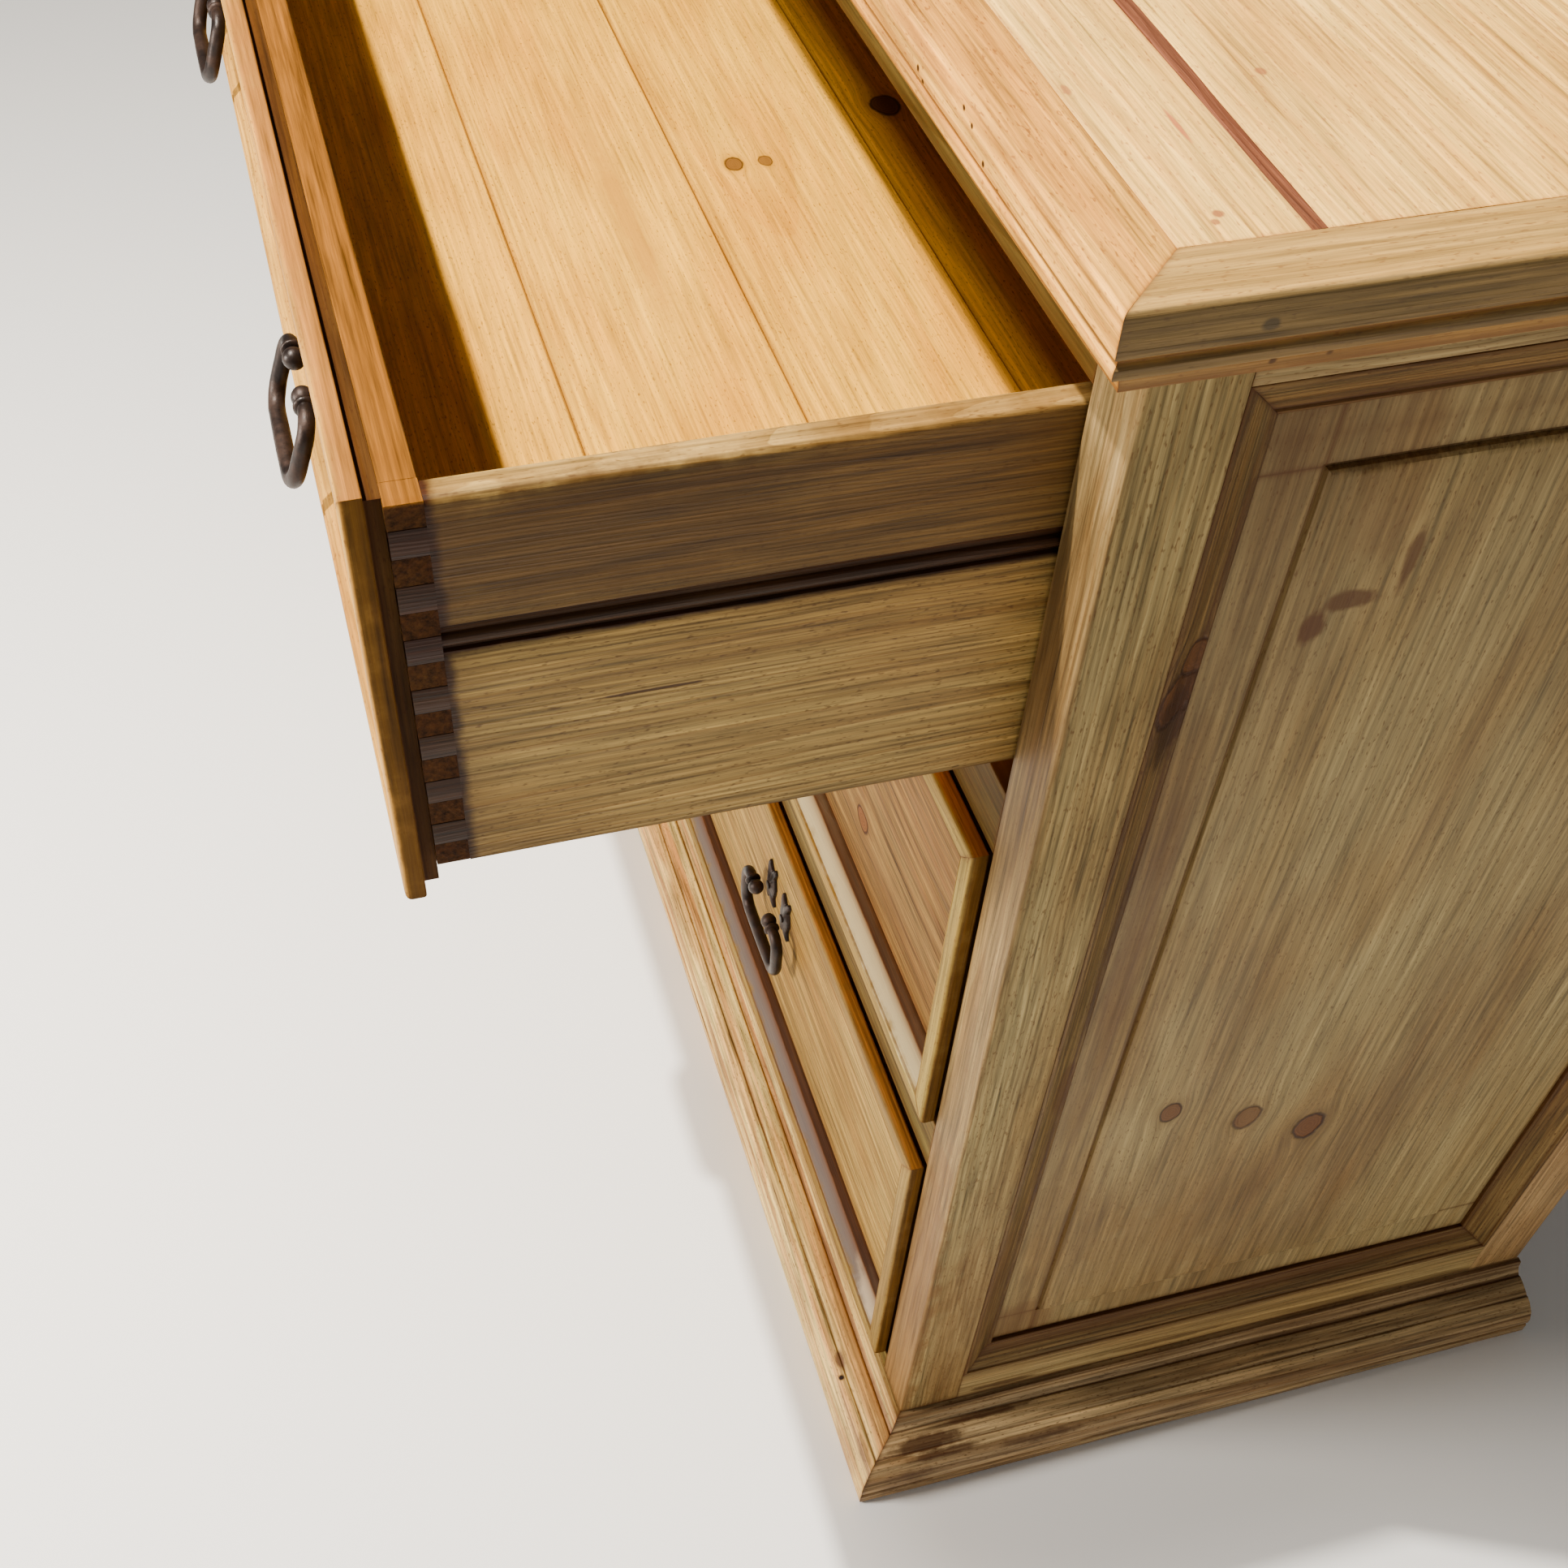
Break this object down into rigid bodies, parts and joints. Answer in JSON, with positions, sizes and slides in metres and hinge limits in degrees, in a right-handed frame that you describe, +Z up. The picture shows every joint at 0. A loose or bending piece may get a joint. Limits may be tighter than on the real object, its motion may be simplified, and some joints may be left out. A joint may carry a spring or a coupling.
{
  "type": "dresser with drawers",
  "caption": "Free-standing pine chest with full-width drawers, framed side panels, moulded top edge, plinth base and iron bail pulls.",
  "frame": {"origin": "on the floor, at the middle of the width, on the underside of the front plinth, 20 mm ahead of the face frame", "axes": "+X to the right of someone facing the drawers, +Y from the drawer faces to the back, +Z up"},
  "size_m": [1.201, 0.7966, 0.946],
  "materials": {
    "pine_top": "waxed old pine, worn",
    "pine_edge": "waxed old pine, worn arrises",
    "pine_side": "waxed old pine, greyed",
    "pine_rail": "waxed old pine",
    "pine_face": "waxed pale pine",
    "pine_panel": "waxed golden pine",
    "pine_inside": "bare pale pine boards",
    "pine_drawer_side": "oiled pine with dark joints",
    "pine_plinth": "waxed old pine, rubbed",
    "pine_rough": "unfinished pine",
    "filler": "dark red-brown hard filler",
    "iron": "hand-wrought dark brown iron"
  },
  "bodies": {
    "case": {"top_plank_1": "pine_top", "top_plank_2": "pine_top", "top_plank_3": "pine_top", "top_plank_4": "pine_top", "top_joint_filler": "filler", "top_edge_front": "pine_edge", "top_edge_left": "pine_edge", "top_edge_right": "pine_edge", "corner_post_front_left": "pine_side", "corner_post_front_right": "pine_side", "corner_post_rear_left": "pine_side", "corner_post_rear_right": "pine_side", "front_rail_top": "pine_rail", "front_rail_upper": "pine_rail", "front_rail_lower": "pine_rail", "front_rail_bottom": "pine_rail", "side_rail_top_left": "pine_side", "side_rail_top_right": "pine_side", "side_rail_bottom_left": "pine_side", "side_rail_bottom_right": "pine_side", "side_panel_left": "pine_side", "side_panel_right": "pine_side", "side_moulding_left": "pine_side", "side_moulding_right": "pine_side", "back_panel": "pine_rough", "floor_panel": "pine_rough", "plinth_front": "pine_plinth", "plinth_left": "pine_plinth", "plinth_right": "pine_plinth", "runners_top": "pine_rough", "runners_middle": "pine_rough", "runners_bottom": "pine_rough", "kickers_top": "pine_rough"},
    "top_drawer": {"top_drawer_front": "pine_panel", "top_drawer_frame": "pine_face", "top_drawer_side_left": "pine_drawer_side", "top_drawer_side_right": "pine_drawer_side", "top_drawer_back": "pine_drawer_side", "top_drawer_bottom": "pine_inside", "top_drawer_eye_posts": "iron"},
    "top_left_bail": {"top_bail_left": "iron"},
    "top_right_bail": {"top_bail_right": "iron"},
    "middle_drawer": {"middle_drawer_front": "pine_panel", "middle_drawer_frame": "pine_face", "middle_drawer_side_left": "pine_drawer_side", "middle_drawer_side_right": "pine_drawer_side", "middle_drawer_back": "pine_drawer_side", "middle_drawer_bottom": "pine_inside", "middle_drawer_eye_posts": "iron"},
    "middle_left_bail": {"middle_bail_left": "iron"},
    "middle_right_bail": {"middle_bail_right": "iron"},
    "bottom_drawer": {"bottom_drawer_front": "pine_panel", "bottom_drawer_frame": "pine_face", "bottom_drawer_side_left": "pine_drawer_side", "bottom_drawer_side_right": "pine_drawer_side", "bottom_drawer_back": "pine_drawer_side", "bottom_drawer_bottom": "pine_inside", "bottom_drawer_eye_posts": "iron"},
    "bottom_left_bail": {"bottom_bail_left": "iron"},
    "bottom_right_bail": {"bottom_bail_right": "iron"}
  },
  "joints": [
    {"name": "top_drawer_slide", "type": "slide", "parent": "case", "child": "top_drawer", "axis": [0, -1, 0], "range_m": [-0.2705, 0.08]},
    {"name": "top_left_bail_swing", "type": "hinge", "parent": "top_drawer", "child": "top_left_bail", "pos_m": [-0.2185, -0.2585, 0.717], "axis": [-1, 0, 0], "range_deg": [-20, 60]},
    {"name": "top_right_bail_swing", "type": "hinge", "parent": "top_drawer", "child": "top_right_bail", "pos_m": [0.2185, -0.2585, 0.717], "axis": [-1, 0, 0], "range_deg": [-20, 60]},
    {"name": "middle_drawer_slide", "type": "slide", "parent": "case", "child": "middle_drawer", "axis": [0, -1, 0], "range_m": [0, 0.35]},
    {"name": "middle_left_bail_swing", "type": "hinge", "parent": "middle_drawer", "child": "middle_left_bail", "pos_m": [-0.213, 0.012, 0.482], "axis": [-1, 0, 0], "range_deg": [0, 80]},
    {"name": "middle_right_bail_swing", "type": "hinge", "parent": "middle_drawer", "child": "middle_right_bail", "pos_m": [0.213, 0.012, 0.482], "axis": [-1, 0, 0], "range_deg": [0, 80]},
    {"name": "bottom_drawer_slide", "type": "slide", "parent": "case", "child": "bottom_drawer", "axis": [0, -1, 0], "range_m": [0, 0.35]},
    {"name": "bottom_left_bail_swing", "type": "hinge", "parent": "bottom_drawer", "child": "bottom_left_bail", "pos_m": [-0.208, 0.012, 0.21], "axis": [-1, 0, 0], "range_deg": [0, 80]},
    {"name": "bottom_right_bail_swing", "type": "hinge", "parent": "bottom_drawer", "child": "bottom_right_bail", "pos_m": [0.208, 0.012, 0.21], "axis": [-1, 0, 0], "range_deg": [0, 80]}
  ]
}
